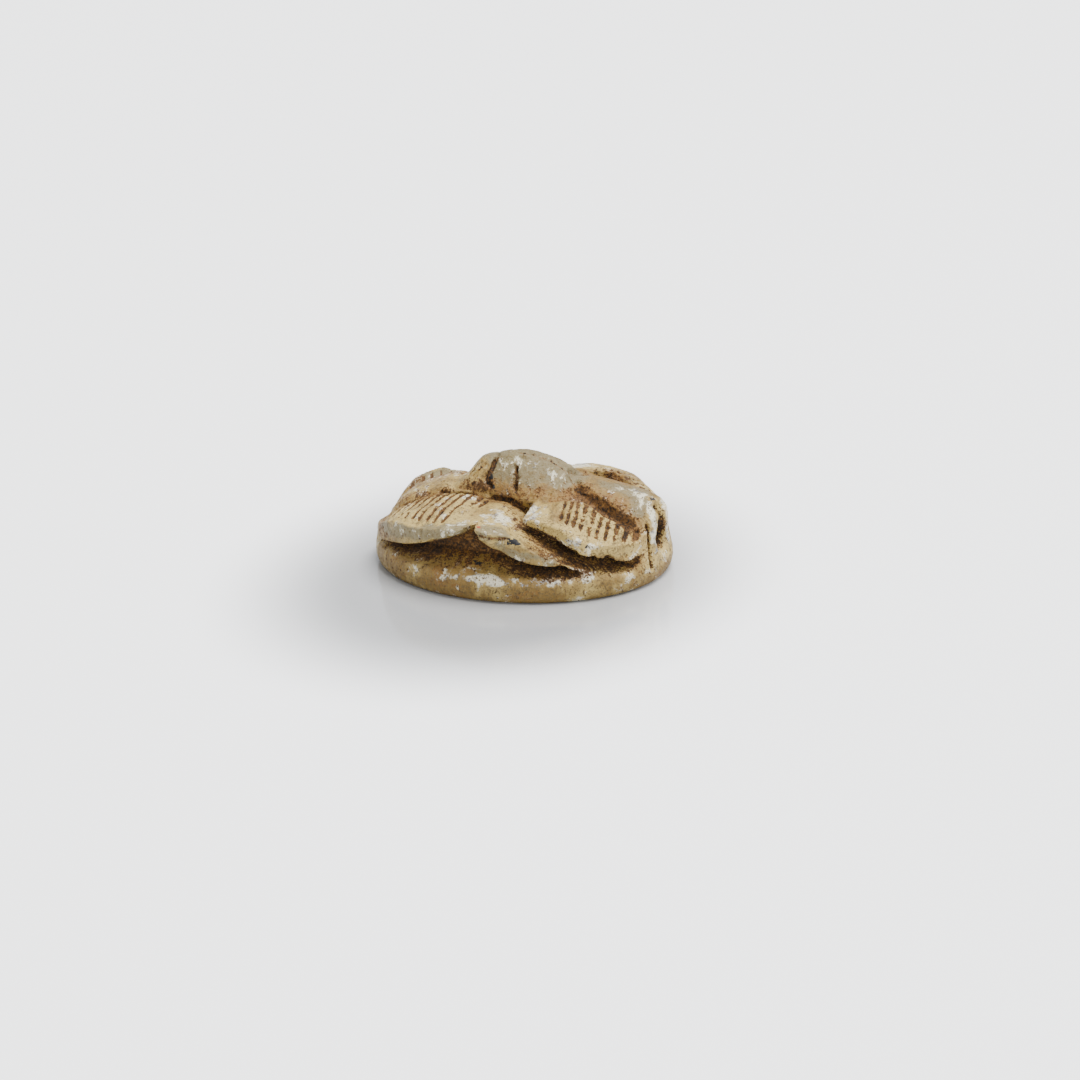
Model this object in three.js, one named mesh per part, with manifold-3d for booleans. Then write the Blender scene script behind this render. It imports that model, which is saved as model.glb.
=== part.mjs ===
// A carved stone scarab amulet: a stylised beetle on an oval plinth, cut from one piece of stone.
// Millimetres, +Z up. The origin is the middle of the flat underside, +X runs along the body from the
// head to the tail. The two flanks mirror each other across the XZ plane, but for the legs at +Y, which the
// carver left higher at the head and lower at the knee.
import * as THREE from "three";
import { mergeVertices } from "three/addons/utils/BufferGeometryUtils.js";
import Module from "manifold-3d";

// Driving dimensions, in millimetres
const LENGTH = 18.0;
const WIDTH = 13.4;
const HEIGHT = 7.0;
const PLINTH_HEIGHT = 1.55;
const FOOT_ROUNDING = 0.35; // how far the lower edge of the plinth is worn in
const WALL_INSET = 0.2; // the carved flanks stand this far inside the plinth
const UNDERCUT_DEPTH = 1.7; // the file cut between the plinth and the front and middle legs
const UNDERCUT_RISE = 28; // degrees by which the plinth's top slopes up into the undercut
const BORE_DIAMETER = 1.7; // the string hole from head to tail
const BORE_HEIGHT = 2.5;
const BORE_WALL = 0.7; // the least stone between the bore and the channels behind the middle legs
const BORE_MOUTH = 0.15; // how far the worn mouth stands outside the bore all round
const FRONT_HATCH_SPACING = 0.54;
const HIND_HATCH_SPACING = 0.5;
const HATCH_WIDTH = 0.26;
const HATCH_DEPTH = 0.16;
const FRONT_RIM = 0.75; // the plain band outside the front legs' hatching
const HIND_RIM = 0.35; // the plain band outside the hind legs' hatching
const HEAD_LINE_WIDTH = 0.2; // the incised lines beside the head, at the neck and on the wing cases
const HEAD_LINE_DEPTH = 0.25;
const TAIL_SLIT_WIDTH = 0.2;
const TAIL_SLIT_DEPTH = 0.45;
const TAIL_SLIT_OFFSET = 1.65; // from the middle plane to the slit beside the string hole
const KNEE_PROUD = 0.15; // how far the middle leg's knee stands out of the flank

const EDGE_WEAR = 0.12; // how far the hind legs' edges are rounded

const WALL_SIDES = 72;
const BORE_SIDES = 28;
const FRONT_LEG_CROWN = 0.62; // share of the half width at which a front leg's top turns down
const FRONT_LEG_BULGE = 0.2; // share of its fall that a front leg has spent inside that crown
const BEYOND = 1.5; // how far a cutter or an untrimmed form reaches past the stone
const SIDES = [-1, 1];

const HALF_LENGTH = LENGTH / 2;
const HALF_WIDTH = WIDTH / 2;

// Carving is laid out in shares: x of the half length, y of the half width, and z of the height of the
// carved beetle above the plinth.
const alongX = (share) => share * HALF_LENGTH;
const acrossY = (share) => share * HALF_WIDTH;
const upZ = (share) => PLINTH_HEIGHT + share * (HEIGHT - PLINTH_HEIGHT);

// A smooth course through a few [x share, value share] points, as a function of x in millimetres.
function course(points, valueOf) {
  const at = points.map((point) => point[0]);
  const spline = new THREE.CubicInterpolant(at, points.map((point) => point[1]), 1);
  return (x) => {
    const share = THREE.MathUtils.clamp(x / HALF_LENGTH, at[0], at.at(-1));
    return valueOf(spline.evaluate(share)[0]);
  };
}

// The half width of the carved flank at x, inside the plinth's oval by the wall inset.
function rim(x) {
  const share = Math.min(Math.abs(x) / (HALF_LENGTH - WALL_INSET), 0.995);
  return (HALF_WIDTH - WALL_INSET) * Math.sqrt(1 - share * share);
}

// Heights and half widths along the body
const legTop = course(
  [[-0.99, 0.08], [-0.92, 0.16], [-0.81, 0.3], [-0.71, 0.405], [-0.56, 0.52], [-0.34, 0.585],
    [-0.14, 0.56], [0.02, 0.545], [0.1, 0.5], [0.18, 0.41], [0.24, 0.3], [0.3, 0.15]], upZ);
const legFall = course(
  [[-0.98, 0.05], [-0.82, 0.1], [-0.71, 0.17], [-0.6, 0.25], [-0.47, 0.27], [-0.35, 0.2],
    [-0.21, 0.1], [-0.09, 0.03], [0.02, 0.03], [0.11, 0.04], [0.3, -0.05]], (slope) => slope);
const farRise = course(
  [[-0.98, 0.05], [-0.92, 0.13], [-0.86, 0.13], [-0.81, 0.095], [-0.74, 0.06], [-0.68, 0.02],
    [-0.5, 0], [-0.3, -0.01], [-0.144, -0.03], [-0.03, -0.09], [0.1, -0.1], [0.2, -0.09],
    [0.3, -0.05], [0.45, 0]],
  (share) => share * (HEIGHT - PLINTH_HEIGHT));
const undercutLip = course(
  [[-0.99, 0.0], [-0.9, 0.045], [-0.72, 0.13], [-0.46, 0.26], [-0.31, 0.36], [-0.145, 0.485],
    [-0.06, 0.575], [-0.015, 0.44], [0.05, 0.365], [0.18, 0.26], [0.3, 0.175], [0.42, 0.145],
    [0.525, 0.125], [0.6, 0.05], [0.66, 0.0]], upZ);
const shinTop = course(
  [[0.12, 0.5], [0.2, 0.475], [0.25, 0.42], [0.31, 0.34], [0.43, 0.235], [0.58, 0.11], [0.7, 0.0],
    [0.82, -0.02], [0.9, -0.01], [0.93, 0.12], [0.96, 0.3], [1, 0.35]], upZ);
const channelFloor = course(
  [[0.12, 0.45], [0.24, 0.38], [0.43, 0.25], [0.67, 0.11], [0.82, 0.05], [0.9, 0.06],
    [0.96, 0.3]], upZ);
const hindTop = course(
  [[0.19, 0.545], [0.33, 0.545], [0.485, 0.495], [0.68, 0.345], [0.77, 0.27], [0.86, 0.22],
    [0.95, 0.2]], upZ);
const hindUnder = course(
  [[0.19, 0.475], [0.32, 0.455], [0.475, 0.36], [0.64, 0.235], [0.75, 0.165], [0.83, 0.09],
    [0.92, 0.05]], upZ);
const hindInner = course(
  [[0.14, 0.595], [0.23, 0.615], [0.34, 0.635], [0.485, 0.665], [0.57, 0.655], [0.66, 0.55],
    [0.79, 0.45], [0.87, 0.36], [0.93, 0.28]], upZ);
const hindReach = course(
  [[0.19, 0.655], [0.33, 0.695], [0.485, 0.74], [0.59, 0.765], [0.68, 0.715], [0.77, 0.645],
    [0.86, 0.525], [0.95, 0.36]], acrossY);
const hindRoot = course(
  [[0.14, 0.35], [0.57, 0.376], [0.72, 0.39], [0.83, 0.345], [0.93, 0.27]], acrossY);
const headTop = course(
  [[-0.92, 0.12], [-0.86, 0.3], [-0.75, 0.455], [-0.68, 0.505], [-0.57, 0.57], [-0.47, 0.62],
    [-0.42, 0.6], [-0.38, 0.59]], upZ);
const headHalf = course([[-0.92, 0.17], [-0.82, 0.23], [-0.62, 0.265], [-0.38, 0.27]], acrossY);
const neckTop = course(
  [[-0.44, 0.6], [-0.4, 0.64], [-0.344, 0.717], [-0.3, 0.807], [-0.254, 0.895], [-0.21, 0.925],
    [-0.14, 0.945]], upZ);
const neckHalf = course([[-0.44, 0.2], [-0.14, 0.25]], acrossY);
const wingTop = course(
  [[-0.155, 0.94], [-0.08, 0.982], [0, 0.997], [0.045, 1], [0.09, 0.998], [0.173, 0.985],
    [0.257, 0.962], [0.34, 0.93], [0.39, 0.9], [0.43, 0.86], [0.47, 0.79], [0.51, 0.7]], upZ);
const wingHalf = course(
  [[-0.155, 0.25], [-0.01, 0.31], [0.1, 0.35], [0.21, 0.365], [0.34, 0.36], [0.51, 0.3]], acrossY);
const tailTop = course(
  [[0.3, 0.8], [0.49, 0.765], [0.63, 0.705], [0.77, 0.65], [0.87, 0.615], [0.93, 0.56],
    [0.97, 0.46], [1, 0.3]], upZ);
const tailHalf = course([[0.3, 0.34], [0.5, 0.355], [0.8, 0.36], [1, 0.32]], acrossY);
const tailFoot = course([[0.3, 0.5], [0.49, 0.48], [0.65, 0.42], [0.8, 0.36], [1, 0.2]], upZ);

// Cross sections of the back, from the foot of a flank to the middle: shares of half width and of rise
const ROUND_BACK = [[1, 0], [0.93, 0.37], [0.77, 0.64], [0.52, 0.86], [0.24, 0.97]];
const ROOF_BACK = [[1, 0], [0.9, 0.19], [0.56, 0.6], [0.22, 0.96], [0.1, 1]];
const RIDGE_BACK = [[1, 0], [0.84, 0.22], [0.68, 0.52], [0.54, 0.8], [0.34, 0.95]];
const LOW_BACK = [[1, 0], [0.94, 0.45], [0.8, 0.75], [0.52, 0.92], [0.24, 0.99]];

const wasm = await Module();
wasm.setup();

// A closed geometry as a solid. A mirrored or reversed one is turned to face out.
function solid(geometry) {
  const bare = geometry.clone();
  for (const name of Object.keys(bare.attributes)) {
    if (name !== "position") bare.deleteAttribute(name);
  }
  const merged = mergeVertices(bare, 1e-5);
  const vertProperties = merged.attributes.position.array;
  const triVerts = new Uint32Array(merged.index.array);
  const made = new wasm.Manifold(new wasm.Mesh({ numProp: 3, vertProperties, triVerts }));
  if (made.volume() > 0) return made;
  triVerts.reverse();
  return new wasm.Manifold(new wasm.Mesh({ numProp: 3, vertProperties, triVerts }));
}

function geometryOf(made) {
  const mesh = made.getMesh();
  const geometry = new THREE.BufferGeometry();
  geometry.setAttribute("position", new THREE.BufferAttribute(mesh.vertProperties, mesh.numProp));
  geometry.setIndex(new THREE.BufferAttribute(mesh.triVerts, 1));
  return geometry;
}

const join = (solids) => solids.reduce((whole, next) => whole.add(next));

// A polygon of [y, z] corners with each corner eased by a small curve.
function eased(corners, radius) {
  const points = [];
  corners.forEach((corner, i) => {
    const here = new THREE.Vector2(...corner);
    const before = new THREE.Vector2(...corners[(i + corners.length - 1) % corners.length]);
    const after = new THREE.Vector2(...corners[(i + 1) % corners.length]);
    const enter = before.sub(here);
    const leave = after.sub(here);
    enter.setLength(Math.min(radius, enter.length() * 0.45)).add(here);
    leave.setLength(Math.min(radius, leave.length() * 0.45)).add(here);
    const curve = new THREE.QuadraticBezierCurve(enter, here, leave);
    for (const point of curve.getPoints(2)) points.push([point.x, point.y]);
  });
  return points;
}

// A solid through sections across the body: sectionAt(x) gives a polygon of [y, z] points, and every
// section has as many points. It is a cylinder whose rings are moved to the sections.
function loft(from, to, rings, sectionAt) {
  const sections = [];
  for (let i = 0; i <= rings; i++) {
    const x = from + ((to - from) * i) / rings;
    sections.push({ x, points: sectionAt(x) });
  }
  const sides = sections[0].points.length;
  const geometry = new THREE.CylinderGeometry(1, 1, 1, sides, rings);
  const position = geometry.attributes.position;
  for (let i = 0; i < position.count; i++) {
    const ring = Math.round((0.5 - position.getY(i)) * rings);
    const { x, points } = sections[ring];
    if (Math.hypot(position.getX(i), position.getZ(i)) < 0.5) {
      const sum = points.reduce((total, point) => [total[0] + point[0], total[1] + point[1]]);
      position.setXYZ(i, x, sum[0] / sides, sum[1] / sides);
      continue;
    }
    const turn = Math.atan2(position.getX(i), position.getZ(i)) / (2 * Math.PI);
    const [y, z] = points[(Math.round(turn * sides) + sides) % sides];
    position.setXYZ(i, x, y, z);
  }
  return solid(geometry);
}

// A V-shaped cutter along a path of points, its edge pressed to a depth below them. Each point is
// { at, normal, wide }, the normal pointing out of the stone and wide a share of the width, 1 by default.
function incision(path, width, depth) {
  const sides = 4;
  const rings = path.length - 1;
  const geometry = new THREE.CylinderGeometry(1, 1, 1, sides, rings);
  const position = geometry.attributes.position;
  const corners = path.map(({ at, normal, wide = 1 }, i) => {
    const ahead = path[Math.min(i + 1, rings)].at.clone().sub(path[Math.max(i - 1, 0)].at);
    const side = ahead.cross(normal).normalize();
    const end = i === 0 || i === rings ? 0.35 : 1;
    const mouth = at.clone().addScaledVector(normal, depth);
    return [
      at.clone().addScaledVector(normal, -depth * end),
      mouth.clone().addScaledVector(side, width * wide * end),
      mouth.clone().addScaledVector(normal, depth),
      mouth.clone().addScaledVector(side, -width * wide * end),
    ];
  });
  for (let i = 0; i < position.count; i++) {
    const four = corners[Math.round((0.5 - position.getY(i)) * rings)];
    if (Math.hypot(position.getX(i), position.getZ(i)) < 0.5) {
      const middle = new THREE.Vector3();
      four.forEach((corner) => middle.addScaledVector(corner, 1 / sides));
      position.setXYZ(i, ...middle.toArray());
      continue;
    }
    const turn = Math.atan2(position.getX(i), position.getZ(i)) / (2 * Math.PI);
    position.setXYZ(i, ...four[(Math.round(turn * sides) + sides) % sides].toArray());
  }
  return solid(geometry);
}

// The uncut stone: an oval block with the plinth's band and, inset above it, the carved flanks' wall.
function block() {
  const top = HEIGHT + BEYOND;
  const profile = [
    [0, 0], [HALF_LENGTH - FOOT_ROUNDING, 0], [HALF_LENGTH - FOOT_ROUNDING * 0.3, FOOT_ROUNDING * 0.7],
    [HALF_LENGTH, FOOT_ROUNDING * 1.8], [HALF_LENGTH, PLINTH_HEIGHT * 0.8],
    [HALF_LENGTH - WALL_INSET * 0.35, PLINTH_HEIGHT],
    [HALF_LENGTH - WALL_INSET, PLINTH_HEIGHT * 1.5], [HALF_LENGTH - WALL_INSET, top], [0, top],
  ].map(([radius, z]) => new THREE.Vector2(radius, z));
  const geometry = new THREE.LatheGeometry(profile, WALL_SIDES);
  geometry.rotateX(Math.PI / 2).scale(1, WIDTH / LENGTH, 1);
  return solid(geometry);
}

// Both front legs and the thighs of the middle legs, as one roof across the body.
function frontLegs() {
  return loft(-HALF_LENGTH - BEYOND, alongX(0.3), 34, (x) => {
    const ridge = legTop(x);
    const root = headHalf(x);
    const crown = acrossY(FRONT_LEG_CROWN);
    const reach = HALF_WIDTH + BEYOND;
    const outer = ridge - legFall(x) * (reach - root);
    const middle = ridge - legFall(x) * (crown - root) * FRONT_LEG_BULGE;
    return [
      [-reach, -BEYOND], [reach, -BEYOND], [reach, outer + farRise(x)], [crown, middle + farRise(x)],
      [root, ridge], [-root, ridge], [-crown, middle], [-reach, outer],
    ];
  });
}

// The middle legs' shins and the channel floor behind them.
function shins() {
  return loft(alongX(0.1), HALF_LENGTH + BEYOND, 30, (x) => {
    const reach = HALF_WIDTH + BEYOND;
    const lip = rim(x);
    const deep = Math.min(Math.max(lip - acrossY(0.33), BORE_DIAMETER / 2 + BORE_WALL), lip);
    const top = shinTop(x);
    const floor = channelFloor(x);
    return [
      [-reach, -BEYOND], [reach, -BEYOND], [reach, top + farRise(x)], [lip, top + farRise(x)],
      [deep, floor], [-deep, floor], [-lip, top], [-reach, top],
    ];
  });
}

// A hind leg: a square-cut bar that overhangs the channel and runs out into the wall at the tail.
function hindLeg(side) {
  return loft(alongX(0.2), HALF_LENGTH + BEYOND, 26, (x) => {
    const past = THREE.MathUtils.smoothstep(x, alongX(0.56), alongX(0.72));
    const reach = hindReach(x) + past * (Math.max(rim(x) - hindReach(x), 0) + BEYOND * 0.3);
    const root = hindRoot(x);
    const beside = BORE_DIAMETER / 2 + BORE_WALL / 2;
    const deep = Math.min(reach - acrossY(0.12), Math.max(rim(x) - acrossY(0.36), beside));
    const under = channelFloor(x);
    const fall = (hindInner(x) - hindTop(x)) / (hindReach(x) - root);
    const outer = hindTop(x) - fall * (reach - hindReach(x));
    return eased([
      [0, -BEYOND], [deep, under - EDGE_WEAR], [deep + EDGE_WEAR * 2, under + EDGE_WEAR * 2],
      [reach, hindUnder(x)], [reach, outer], [root, hindInner(x)],
      [root - acrossY(0.05), tailFoot(x)], [0, tailFoot(x)],
    ], EDGE_WEAR).map(([y, z]) => [side * y, z]);
  });
}

// The line over the back from foot to foot at x, given half width, crown and foot and a cross section.
function overBack(x, half, crown, foot, profile) {
  const flank = profile.map(([y, z]) => [y * half(x), foot(x) + z * (crown(x) - foot(x))]);
  return [...flank, [0, crown(x)], ...flank.map(([y, z]) => [-y, z]).reverse()];
}

// A form astride the middle plane: its half width, crown and foot by x, and its cross section.
function back(from, to, rings, half, crown, foot, profile) {
  return loft(alongX(from), alongX(to), rings, (x) => [
    [-half(x), -BEYOND], [half(x), -BEYOND], ...overBack(x, half, crown, foot, profile),
  ]);
}

const neckFoot = (x) => Math.min(legTop(x), neckTop(x) - HEAD_LINE_DEPTH);

// The head, the neck, the wing cases and the tail ridge.
function body() {
  const headFoot = (x) => Math.min(legTop(x), headTop(x)) - HEAD_LINE_DEPTH;
  const wingFoot = () => upZ(0.6);
  return join([
    back(-0.915, -0.38, 14, headHalf, headTop, headFoot, LOW_BACK),
    back(-0.435, -0.14, 8, neckHalf, neckTop, neckFoot, ROUND_BACK),
    back(-0.15, 0.5, 15, wingHalf, wingTop, wingFoot, ROOF_BACK),
    back(0.3, 1 + BEYOND / HALF_LENGTH, 18, tailHalf, tailTop, tailFoot, RIDGE_BACK),
  ]);
}

// The file cut under the front and middle legs.
function undercut(side) {
  const rise = Math.tan(THREE.MathUtils.degToRad(UNDERCUT_RISE));
  return loft(alongX(-0.97), alongX(0.66), 34, (x) => {
    const wall = rim(x);
    const lowered = side > 0 ? Math.min(farRise(x), 0) : 0;
    const gap = Math.max(undercutLip(x) + lowered - PLINTH_HEIGHT, PLINTH_HEIGHT * 0.02);
    const ends = Math.min(1, (x - alongX(-0.97)) / alongX(0.35), (alongX(0.66) - x) / alongX(0.35));
    const depth = Math.min(UNDERCUT_DEPTH * Math.sqrt(Math.max(ends, 0.02)), wall * 0.75);
    const outside = wall + BEYOND;
    const low = Math.min(depth * rise, gap * 0.5);
    const high = Math.max(gap - depth * 0.35, low + gap * 0.12);
    return [
      [outside, -BEYOND * rise * 0.5], [wall, 0], [wall - depth, low],
      [wall - depth * 1.03, (low + high) / 2], [wall - depth * 0.94, high], [wall, gap],
      [outside, gap * 1.1],
    ].map(([y, z]) => [side * y, PLINTH_HEIGHT + z]);
  });
}

// The middle leg's knee, a rounded boss on the flank.
function knee(side) {
  const geometry = new THREE.SphereGeometry(1, 14, 9);
  const thick = acrossY(0.17);
  geometry.scale(alongX(0.13), thick, (HEIGHT - PLINTH_HEIGHT) * 0.085);
  const x = alongX(0.025);
  const z = upZ(0.455) + (side > 0 ? farRise(x) : 0);
  geometry.rotateY(-0.1).translate(x, side * (rim(x) + KNEE_PROUD - thick), z);
  return solid(geometry);
}

// One line of hatching over a leg: height(x, y, side) is the leg's top.
function hatchLine(start, end, side, height) {
  const path = [0, 0.33, 0.67, 1].map((t) => {
    const x = THREE.MathUtils.lerp(start[0], end[0], t);
    const y = THREE.MathUtils.lerp(start[1], end[1], t);
    const near = HATCH_WIDTH / 2;
    const slope = (height(x, y + near, side) - height(x, y - near, side)) / (2 * near);
    return {
      at: new THREE.Vector3(x, side * y, height(x, y, side)),
      normal: new THREE.Vector3(0, -slope * side, 1).normalize(),
    };
  });
  return incision(path, HATCH_WIDTH, HATCH_DEPTH);
}

function frontLegHeight(x, y, side) {
  const root = headHalf(x);
  const crown = acrossY(FRONT_LEG_CROWN);
  const reach = HALF_WIDTH + BEYOND;
  const top = legTop(x) + (side > 0 ? farRise(x) : 0);
  const kink = top - legFall(x) * (crown - root) * FRONT_LEG_BULGE;
  if (y < crown) return THREE.MathUtils.mapLinear(y, root, crown, legTop(x), kink);
  return THREE.MathUtils.mapLinear(y, crown, reach, kink, top - legFall(x) * (reach - root));
}

// The front legs' hatching fans forward from the root, and stops short of the plain rim.
function frontHatching(side) {
  const lines = [];
  const first = alongX(-0.82);
  const last = alongX(-0.1);
  const count = Math.floor((last - first) / FRONT_HATCH_SPACING);
  for (let i = 0; i <= count; i++) {
    const x = first + i * FRONT_HATCH_SPACING;
    const slant = THREE.MathUtils.lerp(0.42, 0.12, i / count);
    const inner = headHalf(x) + HEAD_LINE_WIDTH * 0.6;
    let run = 0;
    const longHalf = HALF_LENGTH - FRONT_RIM;
    const wideHalf = HALF_WIDTH - FRONT_RIM;
    while (Math.hypot((x - slant * run) / longHalf, (inner + run) / wideHalf) < 1) {
      run += HATCH_WIDTH / 2;
    }
    if (run > FRONT_RIM) {
      lines.push(hatchLine([x, inner], [x - slant * run, inner + run], side, frontLegHeight));
    }
  }
  return lines;
}

function hindLegHeight(x, y) {
  return THREE.MathUtils.mapLinear(y, hindRoot(x), hindReach(x), hindInner(x), hindTop(x));
}

function hindHatching(side) {
  const lines = [];
  const first = alongX(0.48);
  const last = alongX(0.88);
  const count = Math.floor((last - first) / HIND_HATCH_SPACING);
  for (let i = 0; i <= count; i++) {
    const x = first + i * HIND_HATCH_SPACING;
    const inner = hindRoot(x) - HATCH_WIDTH * 0.2;
    const outer = hindReach(x) - HIND_RIM;
    const end = x + 0.12 * (outer - inner);
    lines.push(hatchLine([x, inner], [end, outer], side, hindLegHeight));
  }
  return lines;
}

// The incised line along the foot of the head, or of the wing cases: [x share, y, z] by share.
function footLine(side, from, to, half, height) {
  const steps = 8;
  const path = [];
  for (let i = 0; i <= steps; i++) {
    const x = alongX(THREE.MathUtils.lerp(from, to, i / steps));
    path.push({
      at: new THREE.Vector3(x, side * half(x), height(x)),
      normal: new THREE.Vector3(0, side * 0.5, 1).normalize(),
    });
  }
  return incision(path, HEAD_LINE_WIDTH, HEAD_LINE_DEPTH);
}

// The short cut down the flank of a wing case.
function wingCut(side) {
  const path = [[0.15, 0.87], [0.23, 0.765], [0.31, 0.66]].map(([y, z]) => ({
    at: new THREE.Vector3(alongX(0.052), side * acrossY(y), upZ(z)),
    normal: new THREE.Vector3(0, side * 0.75, 0.65).normalize(),
  }));
  return incision(path, HEAD_LINE_WIDTH, HEAD_LINE_DEPTH);
}

// The line over the back between the neck and the wing cases, which widens down each flank.
function neckLine() {
  const x = alongX(-0.145);
  const line = overBack(x, neckHalf, neckTop, neckFoot, ROUND_BACK);
  const path = line.map(([y, z], i) => {
    const [fromY, fromZ] = line[Math.max(i - 1, 0)];
    const [toY, toZ] = line[Math.min(i + 1, line.length - 1)];
    return {
      at: new THREE.Vector3(x, y, z),
      normal: new THREE.Vector3(0, toZ - fromZ, fromY - toY).normalize(),
      wide: 0.6 + (2 * Math.abs(y)) / neckHalf(x),
    };
  });
  return incision(path, HEAD_LINE_WIDTH, HEAD_LINE_DEPTH);
}

function tailSlit(side) {
  const y = side * TAIL_SLIT_OFFSET;
  const wall = (HALF_LENGTH - WALL_INSET) * Math.sqrt(1 - (TAIL_SLIT_OFFSET / HALF_WIDTH) ** 2);
  const path = [-0.03, 0.2, 0.43].map((share) => ({
    at: new THREE.Vector3(wall, y, upZ(share)),
    normal: new THREE.Vector3(1, side * 0.35, 0).normalize(),
  }));
  return incision(path, TAIL_SLIT_WIDTH, TAIL_SLIT_DEPTH);
}

// The string hole through the length, with a worn mouth at each end and a nick above the tail's.
function bore() {
  const radius = BORE_DIAMETER / 2;
  const long = LENGTH + 2 * BEYOND;
  const worn = radius + BORE_MOUTH;
  const depth = 2 * BORE_MOUTH + WALL_INSET;
  const profile = [
    [0, -long / 2], [worn + BEYOND, -long / 2], [worn, -HALF_LENGTH + WALL_INSET],
    [radius, -HALF_LENGTH + depth], [radius, HALF_LENGTH - depth],
    [worn, HALF_LENGTH - WALL_INSET], [worn + BEYOND, long / 2], [0, long / 2],
  ].map(([r, z]) => new THREE.Vector2(r, z));
  const geometry = new THREE.LatheGeometry(profile, BORE_SIDES);
  geometry.rotateZ(-Math.PI / 2).translate(0, 0, BORE_HEIGHT);
  const nick = incision([
    { at: new THREE.Vector3(HALF_LENGTH - WALL_INSET, 0, BORE_HEIGHT), normal: new THREE.Vector3(1, 0, 0) },
    { at: new THREE.Vector3(HALF_LENGTH - WALL_INSET, 0, upZ(0.48)), normal: new THREE.Vector3(1, 0, 0) },
  ], BORE_MOUTH * 1.6, BORE_MOUTH * 1.6);
  return solid(geometry).add(nick);
}

function scarab() {
  const forms = [frontLegs(), shins(), ...SIDES.map(hindLeg), body()];
  const uncut = block().intersect(join(forms)).add(join(SIDES.map(knee)));
  const cuts = [bore(), neckLine()];
  for (const side of SIDES) {
    cuts.push(undercut(side), tailSlit(side));
    cuts.push(footLine(side, -0.84, -0.2, headHalf, legTop));
    cuts.push(footLine(side, -0.06, 0.18, wingHalf, legTop));
    cuts.push(...frontHatching(side), ...hindHatching(side));
    cuts.push(wingCut(side));
  }
  return uncut.subtract(join(cuts));
}

const stone = new THREE.MeshStandardMaterial({ color: 0xb9a27c, roughness: 0.8, metalness: 0 });
const amulet = new THREE.Mesh(geometryOf(scarab()), stone);
amulet.name = "scarab_amulet";

const model = new THREE.Group();
model.add(amulet);

export default model;
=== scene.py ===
"""A carved stone scarab amulet: the worn stone with its hatched legs, and the studio that it stands in.

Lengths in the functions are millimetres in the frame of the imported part, +X from the head to the tail
and +Z up, and a mesh gets them in metres. Shares are of the half length, half width or carved height.
"""
import math

import bpy
import numpy as np
from bpy.props import FloatProperty, FloatVectorProperty, IntProperty, PointerProperty
from mathutils import Matrix, Vector
from mathutils.bvhtree import BVHTree


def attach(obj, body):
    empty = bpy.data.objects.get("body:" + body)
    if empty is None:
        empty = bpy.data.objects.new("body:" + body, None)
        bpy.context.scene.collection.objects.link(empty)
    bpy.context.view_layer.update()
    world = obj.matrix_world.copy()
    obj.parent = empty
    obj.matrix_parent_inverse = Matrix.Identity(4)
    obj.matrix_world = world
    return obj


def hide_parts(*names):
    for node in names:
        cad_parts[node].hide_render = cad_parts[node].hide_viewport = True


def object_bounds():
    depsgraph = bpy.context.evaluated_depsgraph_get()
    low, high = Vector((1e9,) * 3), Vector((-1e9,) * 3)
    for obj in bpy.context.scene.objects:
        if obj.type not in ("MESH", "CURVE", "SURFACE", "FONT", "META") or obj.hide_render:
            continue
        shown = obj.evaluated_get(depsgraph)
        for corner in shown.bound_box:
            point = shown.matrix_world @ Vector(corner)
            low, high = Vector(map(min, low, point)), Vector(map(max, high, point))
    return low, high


bl_info = {
    "name": "Carved scarab amulet",
    "version": (1, 0, 0),
    "blender": (4, 5, 0),
    "location": "View3D > Sidebar > Amulet",
    "description": "Makes a worn stone scarab amulet and its studio",
    "category": "Add Mesh",
}

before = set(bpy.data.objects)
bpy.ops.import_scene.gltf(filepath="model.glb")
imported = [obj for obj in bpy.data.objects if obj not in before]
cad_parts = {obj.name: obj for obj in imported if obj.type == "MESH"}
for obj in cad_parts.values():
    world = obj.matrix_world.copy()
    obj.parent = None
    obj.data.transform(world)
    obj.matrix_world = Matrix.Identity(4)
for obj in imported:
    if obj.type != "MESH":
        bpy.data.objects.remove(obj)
CAD_LOW, CAD_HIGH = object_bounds()
NODE = "scarab_amulet"
MM = 0.001

HALF_LENGTH = (CAD_HIGH.x - CAD_LOW.x) / 2 / MM
HALF_WIDTH = (CAD_HIGH.y - CAD_LOW.y) / 2 / MM
HEIGHT = CAD_HIGH.z / MM
PLINTH_HEIGHT = 1.55
CARVED_HEIGHT = HEIGHT - PLINTH_HEIGHT
WALL_INSET = 0.2


def course(points):
    """A smooth curve through [x share, value] points, as a function of an array of x in millimetres."""
    at = np.array([point[0] for point in points], float)
    value = np.array([point[1] for point in points], float)

    def evaluate(x):
        t = np.clip(np.asarray(x, float) / HALF_LENGTH, at[0], at[-1])
        i = np.clip(np.searchsorted(at, t, side="right"), 1, len(at) - 1)
        t0, t1 = at[i - 1], at[i]
        before = np.where(i >= 2, at[i - 2], 2 * t0 - t1)
        value_before = np.where(i >= 2, value[i - 2], value[i])
        last = i == len(at) - 1
        after = np.where(last, 2 * t1 - t0, at[np.minimum(i + 1, len(at) - 1)])
        value_after = np.where(last, value[i - 1], value[np.minimum(i + 1, len(at) - 1)])
        half = (t1 - t0) / 2
        weight_before = half / (t0 - before)
        weight_after = half / (after - t1)
        p = (t - t0) / (t1 - t0)
        pp, ppp = p * p, p * p * p
        return (
            (-weight_before * ppp + 2 * weight_before * pp - weight_before * p) * value_before
            + ((1 + weight_before) * ppp + (-1.5 - 2 * weight_before) * pp
               + (-0.5 + weight_before) * p + 1) * value[i - 1]
            + ((-1 - weight_after) * ppp + (1.5 + weight_after) * pp + 0.5 * p) * value[i]
            + (weight_after * ppp - weight_after * pp) * value_after
        )

    return evaluate


def up(share):
    """The height at a share of the carved height."""
    return PLINTH_HEIGHT + np.asarray(share) * CARVED_HEIGHT


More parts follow.
